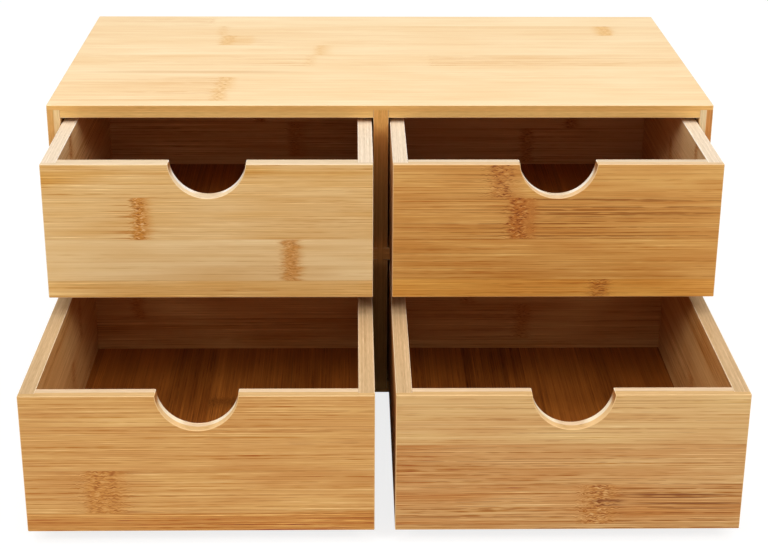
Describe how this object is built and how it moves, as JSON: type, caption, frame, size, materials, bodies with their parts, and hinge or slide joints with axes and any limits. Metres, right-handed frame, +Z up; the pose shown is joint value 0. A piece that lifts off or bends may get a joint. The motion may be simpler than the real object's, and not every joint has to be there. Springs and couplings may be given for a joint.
{
  "type": "desktop drawer unit",
  "caption": "Low bamboo desktop cabinet with stacked, open-topped slide-out drawers, each with a half-round finger notch in its front board.",
  "frame": {"origin": "on the surface it stands on, under the middle of the cabinet", "axes": "+Z up, +X to the right as seen from the front, -Y out of the front, the way the drawers open"},
  "size_m": [0.35, 0.362, 0.167],
  "materials": {
    "cabinet_bamboo": "satin clear-coated bamboo strips, pale",
    "front_yellow_bamboo": "satin clear-coated bamboo strips, yellow tan",
    "front_orange_bamboo": "satin clear-coated bamboo strips, orange tan",
    "drawer_box_bamboo": "sanded bamboo, pale cut edges",
    "drawer_floor_bamboo": "sanded carbonised bamboo, mid brown"
  },
  "bodies": {
    "cabinet": {"top_panel": "cabinet_bamboo", "bottom_panel": "cabinet_bamboo", "left_side_panel": "cabinet_bamboo", "right_side_panel": "cabinet_bamboo", "centre_divider": "cabinet_bamboo", "left_shelf": "cabinet_bamboo", "right_shelf": "cabinet_bamboo", "back_panel": "cabinet_bamboo"},
    "upper_left_drawer": {"upper_left_drawer_front": "front_yellow_bamboo", "upper_left_drawer_left_side": "drawer_box_bamboo", "upper_left_drawer_right_side": "drawer_box_bamboo", "upper_left_drawer_rear": "drawer_box_bamboo", "upper_left_drawer_floor": "drawer_floor_bamboo"},
    "upper_right_drawer": {"upper_right_drawer_front": "front_orange_bamboo", "upper_right_drawer_left_side": "drawer_box_bamboo", "upper_right_drawer_right_side": "drawer_box_bamboo", "upper_right_drawer_rear": "drawer_box_bamboo", "upper_right_drawer_floor": "drawer_floor_bamboo"},
    "lower_left_drawer": {"lower_left_drawer_front": "front_orange_bamboo", "lower_left_drawer_left_side": "drawer_box_bamboo", "lower_left_drawer_right_side": "drawer_box_bamboo", "lower_left_drawer_rear": "drawer_box_bamboo", "lower_left_drawer_floor": "drawer_floor_bamboo"},
    "lower_right_drawer": {"lower_right_drawer_front": "front_yellow_bamboo", "lower_right_drawer_left_side": "drawer_box_bamboo", "lower_right_drawer_right_side": "drawer_box_bamboo", "lower_right_drawer_rear": "drawer_box_bamboo", "lower_right_drawer_floor": "drawer_floor_bamboo"}
  },
  "joints": [
    {"name": "upper_left_slide", "type": "slide", "parent": "cabinet", "child": "upper_left_drawer", "axis": [0, -1, 0], "range_m": [-0.07, 0.1235]},
    {"name": "upper_right_slide", "type": "slide", "parent": "cabinet", "child": "upper_right_drawer", "axis": [0, -1, 0], "range_m": [-0.07, 0.1235]},
    {"name": "lower_left_slide", "type": "slide", "parent": "cabinet", "child": "lower_left_drawer", "axis": [0, -1, 0], "range_m": [-0.162, 0.0315]},
    {"name": "lower_right_slide", "type": "slide", "parent": "cabinet", "child": "lower_right_drawer", "axis": [0, -1, 0], "range_m": [-0.162, 0.0315]}
  ]
}
